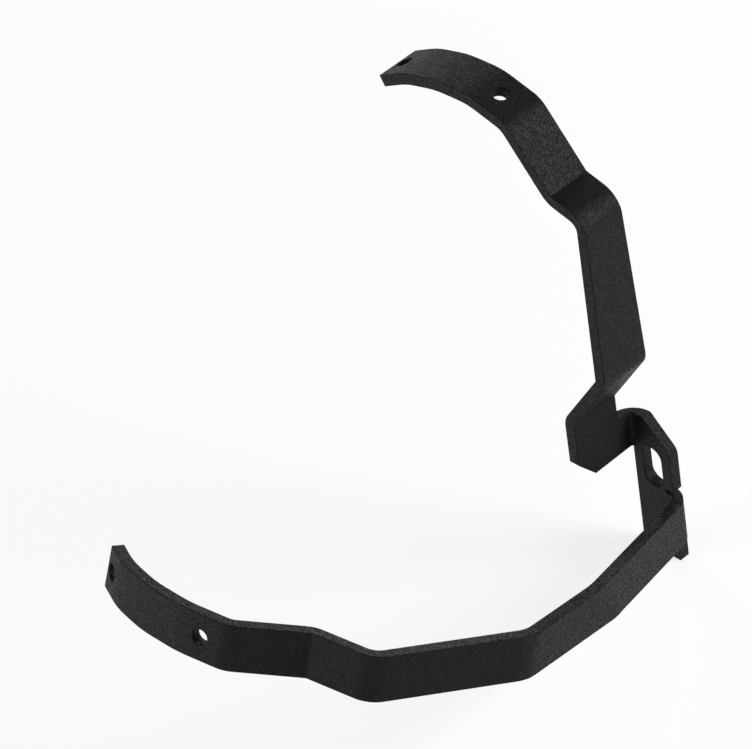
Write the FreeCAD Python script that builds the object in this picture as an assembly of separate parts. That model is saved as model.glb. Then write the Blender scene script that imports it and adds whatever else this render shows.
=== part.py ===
import FreeCAD, Part
import math
import os

V = FreeCAD.Vector

# Sheet, strip and holes
sheet = 5.0
strip_width = 20.0
foot_width = 24.0
hole_dia = 6.8

# Plate: origin at the middle of the slot, X across, Z up, Y away from the seen face
plate_left = -9.8
plate_right = 10.2
plate_top = 24.6
plate_bottom = -45.9
plate_chamfer = 13.2
chamfer_round = 6.0
slot_width = 10.4
slot_length = 20.5

# Short straight past the curve of each fold
fold_straight = 0.4

# Square fold between the plate and the foot
foot_fold_inner = 2.0
foot_fold_outer = 11.5
foot_gap = 7.0
foot_bottom = 7.1
foot_chamfer_across = 8.7
foot_chamfer_rise = 9.9
foot_rise = 30.75

# Least radius on the outside of the arms' bends
bend_outside = 11.5

# Upper arm: each leg's heading in degrees from straight up, minus leaning inward, and its length
upper_headings = [34.7, 0.0, -74.7, -38.5, -74.6, -92.3, -104.4, -117.0]
upper_lengths = [36.6, 83.1, 17.8, 33.1, 20.4, 18.4, 17.8, 15.6]
upper_inside_radii = [0.8, 1.5, 4.5, 0.8, 7.0, 27.0, 45.0, 40.0]

# Fold on the plate's right edge, with a relief notch at each end
lower_fold_angle = 69.3
lower_fold_inner = 2.0
lower_fold_outer = 10.0
lower_corner_x = 10.0
lower_corner_z = -12.36
relief_height = 2.4
relief_left = 6.1

# Root of the lower arm, with a bend that crosses the strip at a slant
lower_rise = 17.5
root_length = 86.2
root_bend = 11.6
root_bend_lean = -25.4
root_bend_radius = 25.0

# Lower arm: each leg's heading in degrees from its straight run, minus leaning inward, and its length
lower_run = 48.7
lower_headings = [-30.1, -86.1, -53.7, -87.0, -98.5, -111.2, -126.0]
lower_lengths = [68.5, 27.5, 31.7, 21.5, 19.0, 17.5, 14.6]
lower_inside_radii = [13.0, 7.0, 0.8, 5.5, 45.0, 45.0, 38.0]
lower_tip_lean = 8.5

# Mudguard holes, measured along the end legs
tip_hole_in = 4.9
far_hole_in = 11.8


def heading(angle):
    a = math.radians(angle)
    return (math.sin(a), math.cos(a))


def facing(angle):
    a = math.radians(angle)
    return (math.cos(a), -math.sin(a))


def step(point, direction, length):
    return (point[0] + direction[0] * length, point[1] + direction[1] * length)


def corners(start, legs):
    points = [start]
    for angle, length in legs:
        points.append(step(points[-1], heading(angle), length))
    return points


def turned(vector, axis, angle):
    return FreeCAD.Rotation(axis, angle).multVec(vector)


def line(a, b):
    return Part.LineSegment(a, b).toShape()


def arc(a, b, c):
    return Part.Arc(a, b, c).toShape()


def closed_face(edges):
    return Part.Face(Part.Wire(Part.__sortEdges__(edges)))


def panel(points, push):
    return Part.Face(Part.makePolygon(points + [points[0]])).extrude(push)


# Bore through the sheet, from a point on the seen face
def drill(point, axis):
    return Part.makeCylinder(hole_dia / 2, 3 * sheet, point - axis * 2 * sheet, axis)


# A sharp bend keeps a generous radius on its outside
def outside_radius(inside):
    return max(inside + sheet, bend_outside)


# One side of the bent sheet: straight runs joined by arcs
def side_path(start, legs, inside_radii, depth):
    points = corners(start, legs)
    pieces = []
    here = step(points[0], facing(legs[0][0]), -depth)
    for i, inside in enumerate(inside_radii):
        before = legs[i][0]
        after = legs[i + 1][0]
        outward = facing((before + after) / 2)
        half = math.radians(abs(after - before)) / 2
        sign = 1.0 if after > before else -1.0
        hollow = (depth == 0.0) == (after > before)
        radius = inside if hollow else outside_radius(inside)
        corner = step(points[i + 1], outward, -depth / math.cos(half))
        first = step(corner, heading(before), -radius * math.tan(half))
        middle = step(corner, outward, sign * radius * (1 / math.cos(half) - 1))
        last = step(corner, heading(after), radius * math.tan(half))
        pieces.append((here, first))
        pieces.append((first, middle, last))
        here = last
    pieces.append((here, step(points[-1], facing(legs[-1][0]), -depth)))
    return pieces


# Edge-on profile of a bent strip, laid in space by the given function
def bent_profile(place, start, legs, inside_radii):
    seen = side_path(start, legs, inside_radii, 0.0)
    back = side_path(start, legs, inside_radii, sheet)
    edges = []
    for piece in seen + back:
        spots = [place(p) for p in piece]
        if len(spots) == 3:
            edges.append(arc(*spots))
        else:
            edges.append(line(*spots))
    edges.append(line(place(seen[0][0]), place(back[0][0])))
    edges.append(line(place(seen[-1][-1]), place(back[-1][-1])))
    return closed_face(edges)


# Length from a fold's inner corner to where both its faces run straight
def fold_reach(inner, outer, angle):
    return max(inner, outer - sheet) * math.tan(math.radians(angle) / 2)


# Plan of a fold with its own inside and outside radius, raised along Z
def folded_corner(a_end, corner, b_end, inner, outer, low, high):
    to_a = (a_end - corner).normalize()
    to_b = (b_end - corner).normalize()
    half = to_a.getAngle(to_b) / 2
    middle = (to_a + to_b).normalize()
    a_back = (to_a * to_a.dot(to_b) - to_b).normalize()
    b_back = (to_b * to_b.dot(to_a) - to_a).normalize()

    def rounding(tip, radius):
        tangent = radius / math.tan(half)
        centre = tip + middle * (radius / math.sin(half))
        return tip + to_a * tangent, centre - middle * radius, tip + to_b * tangent

    i1, i2, i3 = rounding(corner, inner)
    o1, o2, o3 = rounding(corner - middle * (sheet / math.sin(half)), outer)
    a_far = a_end + a_back * sheet
    b_far = b_end + b_back * sheet
    edges = [
        line(a_end, i1),
        arc(i1, i2, i3),
        line(i3, b_end),
        line(b_end, b_far),
        line(b_far, o3),
        arc(o3, o2, o1),
        line(o1, a_far),
        line(a_far, a_end),
    ]
    fold = closed_face(edges).extrude(V(0, 0, high - low))
    fold.translate(V(0, 0, low))
    return fold


# Plate, stepped back where the two folds leave it
def make_plate(foot_fold_end, lower_low, lower_high):
    points = [
        V(plate_right, 0, plate_top),
        V(plate_right, 0, lower_high + relief_height),
        V(relief_left, 0, lower_high + relief_height),
        V(relief_left, 0, lower_low - relief_height),
        V(plate_right, 0, lower_low - relief_height),
        V(plate_right, 0, plate_bottom),
        V(plate_left, 0, plate_bottom),
        V(plate_left, 0, foot_bottom),
        V(foot_fold_end, 0, foot_bottom),
        V(foot_fold_end, 0, plate_top),
    ]
    return panel(points, V(0, sheet, 0))


# Waste outside the plate's top right corner: a 45 degree chamfer that rounds into the side
def make_corner_waste():
    half_turn = math.radians(45.0 / 2)
    tangent = chamfer_round * math.tan(half_turn)
    slant = tangent * math.sqrt(0.5)
    left = plate_right - plate_chamfer
    low = plate_top - plate_chamfer
    front = -sheet / 2
    centre = V(plate_right - chamfer_round, front, low - tangent)
    round_top = V(plate_right - slant, front, low + slant)
    round_mid = centre + V(math.cos(half_turn), 0, math.sin(half_turn)) * chamfer_round
    round_low = V(plate_right, front, low - tangent)
    points = [
        round_low,
        V(plate_right + sheet, front, low - tangent),
        V(plate_right + sheet, front, plate_top + sheet),
        V(left, front, plate_top + sheet),
        V(left, front, plate_top),
        round_top,
    ]
    edges = [line(a, b) for a, b in zip(points, points[1:])]
    edges.append(arc(round_top, round_mid, round_low))
    return closed_face(edges).extrude(V(0, 2 * sheet, 0))


# Upright slot through the plate
def make_slot():
    r = slot_width / 2
    half = slot_length / 2 - r
    depth = 3 * sheet
    up = Part.makeCylinder(r, depth, V(0, -sheet, half), V(0, 1, 0))
    down = Part.makeCylinder(r, depth, V(0, -sheet, -half), V(0, 1, 0))
    middle = Part.makeBox(slot_width, depth, 2 * half, V(-r, -sheet, -half))
    return up.fuse([down, middle])


# Foot and upper arm, bent about lines along Y, its plate-side edge tapered along the strap
def make_upper_arm():
    near = -foot_gap - foot_width
    far = -foot_gap
    legs = [(0.0, foot_rise)] + list(zip(upper_headings, upper_lengths))
    start = (plate_left, foot_bottom)
    points = corners(start, legs)

    def place(p):
        return V(p[0], near, p[1])

    arm = bent_profile(place, start, legs, upper_inside_radii).extrude(V(0, foot_width, 0))
    left = arm.BoundBox.XMin - sheet
    across = V(arm.BoundBox.XLength + 2 * sheet, 0, 0)
    above = arm.BoundBox.ZMax + sheet
    slim = near + strip_width
    bend_reach = outside_radius(upper_inside_radii[2]) * math.tan(math.radians(-upper_headings[2]) / 2)
    taper_low = points[2][1]
    taper_high = points[3][1] - bend_reach
    taper = panel(
        [
            V(left, far, taper_low),
            V(left, slim, taper_high),
            V(left, slim, above),
            V(left, far + sheet, above),
            V(left, far + sheet, taper_low),
        ],
        across,
    )
    chamfer = panel(
        [
            V(left, near, foot_bottom),
            V(left, near + foot_chamfer_across, foot_bottom),
            V(left, near, foot_bottom + foot_chamfer_rise),
        ],
        across,
    )
    middle = near + strip_width / 2
    tip = step(points[-1], heading(legs[-1][0]), -tip_hole_in)
    far_spot = step(points[5], heading(legs[5][0]), far_hole_in)
    holes = []
    for spot, angle in ((tip, legs[-1][0]), (far_spot, legs[5][0])):
        n = facing(angle)
        holes.append(drill(V(spot[0], middle, spot[1]), V(n[0], 0, n[1])))
    return arm.cut([taper, chamfer] + holes)


# Directions and key points of the lower arm's root
def lower_frame():
    turn = math.radians(lower_fold_angle)
    rise = math.radians(lower_rise)
    lean = math.radians(root_bend_lean)
    up = V(0, 0, 1)
    out = V(math.cos(turn), -math.sin(turn), 0)
    face = V(math.sin(turn), math.cos(turn), 0)
    along = out * math.cos(rise) + up * math.sin(rise)
    bend_line = up * math.cos(lean) - out * math.sin(lean)
    corner = V(lower_corner_x, 0, lower_corner_z)
    knee = corner + along * root_length
    return out, face, up, along, bend_line, corner, knee


# Lower arm: flat root, slanted bend, straight run, then the bent end
def make_lower_arm(fold_end):
    face, up, along, bend_line, corner, knee = lower_frame()[1:]
    run = turned(along, bend_line, -root_bend)
    run_face = turned(face, bend_line, -root_bend)
    across = run.cross(run_face)
    rise = math.radians(lower_rise)
    forward = (along - bend_line * along.dot(bend_line)).normalize()
    slant = along.getAngle(forward)
    drop = bend_line * (strip_width / math.cos(slant))
    reach = root_bend_radius * math.tan(math.radians(root_bend) / 2)

    root_start = corner + along * (fold_end / math.cos(rise))
    root_end = knee - along * (reach / math.cos(slant))
    root_drop = up * (strip_width / math.cos(rise))
    root = panel([root_start, root_end, root_end - drop, root_start - root_drop], face * sheet)

    bend_axis = knee - forward * reach - face * root_bend_radius
    section_count = 7
    sections = []
    for i in range(section_count):
        share = i / (section_count - 1)
        normal = turned(face, bend_line, -root_bend * share)
        shift = bend_line * (math.tan(slant) * reach * (2 * share - 1))
        inner = bend_axis + normal * root_bend_radius + shift
        outer = inner + normal * sheet
        sections.append(Part.makePolygon([inner, outer, outer - drop, inner - drop, inner]))
    slanted_bend = Part.makeLoft(sections, True, False)

    run_start = knee + run * (reach / math.cos(slant))
    half_run = lower_run / 2
    run_end = knee + run * half_run
    run_drop = across * strip_width
    straight = panel([run_start, run_end, run_end - run_drop, run_start - drop], run_face * sheet)

    def place(p):
        return knee + run_face * p[0] + run * p[1]

    legs = [(0.0, half_run)] + list(zip(lower_headings, lower_lengths))
    start = (sheet, half_run)
    points = corners(start, legs)
    end_angle, end_length = legs[-1]
    overlong = legs[:-1] + [(end_angle, end_length + sheet)]
    arm = bent_profile(place, start, overlong, lower_inside_radii).extrude(run_drop * -1)
    tip = step(points[-1], heading(end_angle), -tip_hole_in)
    far_spot = step(points[4], heading(legs[4][0]), far_hole_in)
    holes = []
    for spot, angle in ((tip, end_angle), (far_spot, legs[4][0])):
        n = facing(angle)
        holes.append(drill(place(spot) - run_drop / 2, run_face * n[0] + run * n[1]))

    # Slanted cut at the tip
    end_along = run_face * heading(end_angle)[0] + run * heading(end_angle)[1]
    end_face = run_face * facing(end_angle)[0] + run * facing(end_angle)[1]
    lean = math.radians(lower_tip_lean)
    tip_line = (across * math.cos(lean) - end_along * math.sin(lean)) * strip_width
    tip_middle = place(points[-1]) - run_drop / 2 + end_face * sheet
    beyond = end_along * (sheet + strip_width)
    tip_high = tip_middle + tip_line
    tip_low = tip_middle - tip_line
    tip_waste = panel([tip_low, tip_high, tip_high + beyond, tip_low + beyond], end_face * (-3 * sheet))
    return [root, slanted_bend, straight, arm.cut(holes + [tip_waste])]


def make_bracket():
    out = lower_frame()[0]
    square = 90.0
    foot_reach = fold_reach(foot_fold_inner, foot_fold_outer, square)
    foot_fold_end = plate_left + foot_reach + fold_straight
    foot_fold = folded_corner(
        V(foot_fold_end, 0, 0),
        V(plate_left, 0, 0),
        V(plate_left, -max(foot_gap, foot_reach + fold_straight), 0),
        foot_fold_inner, foot_fold_outer, foot_bottom, plate_top,
    )

    lower_reach = fold_reach(lower_fold_inner, lower_fold_outer, lower_fold_angle)
    lower_fold_end = lower_reach + fold_straight
    rise = math.radians(lower_rise)
    lower_high = lower_corner_z + lower_fold_end * math.tan(rise)
    lower_low = lower_high - strip_width / math.cos(rise)
    plan_corner = V(lower_corner_x, 0, 0)
    lower_fold = folded_corner(
        V(min(relief_left, lower_corner_x - lower_reach - fold_straight), 0, 0),
        plan_corner,
        plan_corner + out * lower_fold_end,
        lower_fold_inner, lower_fold_outer, lower_low, lower_high,
    )

    plate = make_plate(foot_fold_end, lower_low, lower_high)
    pieces = [foot_fold, lower_fold, make_upper_arm()] + make_lower_arm(lower_fold_end)
    return plate.fuse(pieces).removeSplitter().cut([make_corner_waste(), make_slot()])


bracket = make_bracket()
solid = bracket.Solids[0] if len(bracket.Solids) == 1 else bracket
os.makedirs("parts", exist_ok=True)
solid.exportStep("parts/mudguard_bracket.step")
print("solids", len(bracket.Solids), "valid", bracket.isValid(), "volume", round(bracket.Volume, 1))
print("box", bracket.BoundBox)
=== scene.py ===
import bpy
from mathutils import Matrix, Vector


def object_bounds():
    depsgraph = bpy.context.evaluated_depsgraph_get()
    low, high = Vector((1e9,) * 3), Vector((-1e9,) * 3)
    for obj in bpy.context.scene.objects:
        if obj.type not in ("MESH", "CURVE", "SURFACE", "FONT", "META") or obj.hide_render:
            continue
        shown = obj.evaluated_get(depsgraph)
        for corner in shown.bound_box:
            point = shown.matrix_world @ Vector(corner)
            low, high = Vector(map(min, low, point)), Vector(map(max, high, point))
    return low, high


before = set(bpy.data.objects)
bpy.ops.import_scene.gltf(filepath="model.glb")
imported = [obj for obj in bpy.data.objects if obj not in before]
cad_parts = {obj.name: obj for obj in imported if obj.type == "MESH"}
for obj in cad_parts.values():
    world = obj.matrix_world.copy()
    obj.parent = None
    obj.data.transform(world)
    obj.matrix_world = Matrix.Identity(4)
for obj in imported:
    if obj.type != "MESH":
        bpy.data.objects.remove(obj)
cad_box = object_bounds()

# Camera fitted to the photograph: place and reach in metres, lens in pixels of the photograph
camera_place = Vector((1.00565, -0.94581, 1.19924))
camera_forward = Vector((-0.60201, 0.48568, -0.63380))
camera_up = Vector((-0.38478, 0.51905, 0.76324))
focal_px = 4500.0
photo_width_px = 752.0
sensor_mm = 36.0
camera_reach = 20.0

# Powder coat: black valleys, slightly paler tops that paint a highlight on the pebbles, and the noise
# levels at which each is full
coat_colour = (0.0066, 0.0063, 0.0061, 1.0)
coat_highlight_colour = (0.0122, 0.0117, 0.0114, 1.0)
valley_roughness = 0.7
top_roughness = 0.34
valley_level = 0.36
top_level = 0.64
coat_specular = 0.06
coat_ior = 1.5

# Pebbles of the coat and the finer grain on them, sizes in metres
pebble_size = 0.0009
pebble_detail = 2.0
pebble_height = 0.0004
grain_size = 0.0006
grain_detail = 1.0
grain_share = 0.3
noise_roughness = 0.5

# Rounded edges, painted darker as shade and duller: full below the first cosine of the turn, gone
# above the second
edge_round = 0.0007
edge_samples = 8
edge_shade_colour = (0.002, 0.002, 0.002, 1.0)
edge_roughness = 1.0
edge_turned = 0.74
edge_flat = 0.93

# Floor: width in metres, paint and the share of it that shows as plain white
floor_size = 8.0
floor_colour = (0.8, 0.8, 0.8, 1.0)
floor_glow = 0.75

# Light all round that fades towards straight up: height of the direction, then strength
sky_steps = [(0.0, 0.9), (0.25, 0.9), (0.45, 0.02), (1.0, 0.0)]

# Soft lamps: name, direction, distance and width in metres, power in watts
lamps = [
    ("right_softbox", Vector((0.75, 0.5, 0.45)), 1.6, 0.9, 36.0),
    ("front_softbox", Vector((-0.45, -0.88, 0.13)), 1.6, 0.7, 24.0),
    ("left_softbox", Vector((-0.85, 0.3, 0.4)), 1.6, 0.7, 7.0),
    ("back_softbox", Vector((-0.5, 0.85, 0.24)), 1.6, 0.6, 8.0),
]


# Adds a node, sets its inputs and returns it
def add(tree, kind, **inputs):
    node = tree.nodes.new(kind)
    for name, value in inputs.items():
        node.inputs[name.replace("_", " ")].default_value = value
    return node


def new_tree(owner):
    owner.use_nodes = True
    owner.node_tree.nodes.clear()
    return owner.node_tree


def noise(tree, size, detail):
    texture = add(tree, "ShaderNodeTexNoise", Scale=1 / size, Detail=detail, Roughness=noise_roughness)
    place = add(tree, "ShaderNodeTexCoord")
    tree.links.new(place.outputs["Object"], texture.inputs["Vector"])
    return texture.outputs["Fac"]


# Maps a value onto the span between two results
def spread(tree, value, low, high, at_low=0.0, at_high=1.0):
    node = add(tree, "ShaderNodeMapRange", From_Min=low, From_Max=high, To_Min=at_low, To_Max=at_high)
    tree.links.new(value, node.inputs["Value"])
    return node.outputs["Result"]


# Mixes colours or numbers, each end given as a value or as another node's output
def blend(tree, kind, factor, first, second):
    node = tree.nodes.new("ShaderNodeMix")
    node.data_type = kind
    for name, end in (("Factor", factor), ("A", first), ("B", second)):
        if isinstance(end, bpy.types.NodeSocket):
            tree.links.new(end, node.inputs[name])
        else:
            node.inputs[name].default_value = end
    return node.outputs["Result"]


# How flat the sheet is at a point: 0 where an edge turns, 1 away from the edges
def flatness(tree, rounded):
    shape = add(tree, "ShaderNodeNewGeometry")
    turn = add(tree, "ShaderNodeVectorMath")
    turn.operation = "DOT_PRODUCT"
    tree.links.new(rounded, turn.inputs[0])
    tree.links.new(shape.outputs["Normal"], turn.inputs[1])
    return spread(tree, turn.outputs["Value"], edge_turned, edge_flat)


# Black powder coat: fine pebbles, dull in the valleys and shiny on top, with finer grain, pebble tops
# painted paler as a highlight and edges painted darker as shade
def powder_coat():
    material = bpy.data.materials.new("powder_coat")
    tree = new_tree(material)
    link = tree.links.new
    pebbles = noise(tree, pebble_size, pebble_detail)
    grain = noise(tree, grain_size, grain_detail)
    edges = add(tree, "ShaderNodeBevel", Radius=edge_round)
    edges.samples = edge_samples
    rounded = edges.outputs["Normal"]
    flat = flatness(tree, rounded)

    bump = add(tree, "ShaderNodeBump", Strength=1.0, Distance=pebble_height)
    link(blend(tree, "FLOAT", grain_share, pebbles, grain), bump.inputs["Height"])
    link(rounded, bump.inputs["Normal"])

    # Paler colour on the pebble tops: a painted highlight
    painted_highlight_share = spread(tree, pebbles, valley_level, top_level)
    colour = blend(tree, "RGBA", painted_highlight_share, coat_colour, coat_highlight_colour)
    gloss = spread(tree, pebbles, valley_level, top_level, valley_roughness, top_roughness)

    shader = add(tree, "ShaderNodeBsdfPrincipled", Metallic=0.0, IOR=coat_ior)
    shader.inputs["Specular IOR Level"].default_value = coat_specular
    # Darker colour along the rounded edges: painted shade
    link(blend(tree, "RGBA", flat, edge_shade_colour, colour), shader.inputs["Base Color"])
    link(blend(tree, "FLOAT", flat, edge_roughness, gloss), shader.inputs["Roughness"])
    link(bump.outputs["Normal"], shader.inputs["Normal"])
    out = add(tree, "ShaderNodeOutputMaterial")
    link(shader.outputs["BSDF"], out.inputs["Surface"])
    return material


def maths(tree, operation, first, second):
    node = add(tree, "ShaderNodeMath")
    node.operation = operation
    tree.links.new(first, node.inputs[0])
    if isinstance(second, bpy.types.NodeSocket):
        tree.links.new(second, node.inputs[1])
    else:
        node.inputs[1].default_value = second
    return node.outputs[0]


# Pale floor that shows nearly white, also in reflections, and keeps the shadow
def floor_paint():
    material = bpy.data.materials.new("floor")
    tree = new_tree(material)
    link = tree.links.new
    matt = add(tree, "ShaderNodeBsdfDiffuse", Color=floor_colour)
    glow = add(tree, "ShaderNodeEmission", Strength=1.0)
    ray = add(tree, "ShaderNodeLightPath").outputs
    seen = maths(tree, "MAXIMUM", ray["Is Camera Ray"], ray["Is Glossy Ray"])
    shown = maths(tree, "MAXIMUM", seen, ray["Is Transmission Ray"])
    mix = add(tree, "ShaderNodeMixShader")
    link(maths(tree, "MULTIPLY", shown, floor_glow), mix.inputs["Fac"])
    link(matt.outputs["BSDF"], mix.inputs[1])
    link(glow.outputs["Emission"], mix.inputs[2])
    out = add(tree, "ShaderNodeOutputMaterial")
    link(mix.outputs["Shader"], out.inputs["Surface"])
    return material


def make_floor():
    half = floor_size / 2
    level = cad_box[0][2]
    mesh = bpy.data.meshes.new("floor")
    corners = [(-half, -half, level), (half, -half, level), (half, half, level), (-half, half, level)]
    mesh.from_pydata(corners, [], [(0, 1, 2, 3)])
    floor = bpy.data.objects.new("floor", mesh)
    floor.data.materials.append(floor_paint())
    bpy.context.scene.collection.objects.link(floor)


# Even light from the sides that fades towards straight up
def make_sky():
    world = bpy.data.worlds.new("studio")
    bpy.context.scene.world = world
    tree = new_tree(world)
    link = tree.links.new
    place = add(tree, "ShaderNodeTexCoord")
    split = add(tree, "ShaderNodeSeparateXYZ")
    ramp = add(tree, "ShaderNodeValToRGB")
    link(place.outputs["Generated"], split.inputs["Vector"])
    link(split.outputs["Z"], ramp.inputs["Fac"])
    stops = ramp.color_ramp.elements
    while len(stops) < len(sky_steps):
        stops.new(1.0)
    for stop, (position, strength) in zip(stops, sky_steps):
        stop.position = position
        stop.color = (strength, strength, strength, 1.0)
    sky = add(tree, "ShaderNodeBackground", Strength=1.0)
    link(ramp.outputs["Color"], sky.inputs["Color"])
    out = add(tree, "ShaderNodeOutputWorld")
    link(sky.outputs["Background"], out.inputs["Surface"])


def make_lamps():
    centre = (Vector(cad_box[0]) + Vector(cad_box[1])) / 2
    for name, direction, distance, width, power in lamps:
        data = bpy.data.lights.new(name, "AREA")
        data.shape = "DISK"
        data.size = width
        data.energy = power
        lamp = bpy.data.objects.new(name, data)
        lamp.location = centre + direction.normalized() * distance
        lamp.rotation_euler = direction.to_track_quat("Z", "Y").to_euler()
        bpy.context.scene.collection.objects.link(lamp)


def make_camera():
    back = -camera_forward.normalized()
    right = camera_up.cross(back).normalized()
    up = back.cross(right)
    data = bpy.data.cameras.new("camera")
    data.sensor_width = sensor_mm
    data.lens = focal_px / photo_width_px * sensor_mm
    data.clip_end = camera_reach
    camera = bpy.data.objects.new("camera", data)
    turn = Matrix((right, up, back)).transposed().to_4x4()
    camera.matrix_world = Matrix.Translation(camera_place) @ turn
    bpy.context.scene.collection.objects.link(camera)
    bpy.context.scene.camera = camera


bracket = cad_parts["mudguard_bracket"]
bracket.data.materials.clear()
bracket.data.materials.append(powder_coat())
make_floor()
make_sky()
make_lamps()
make_camera()
bpy.context.scene.view_settings.view_transform = "Standard"
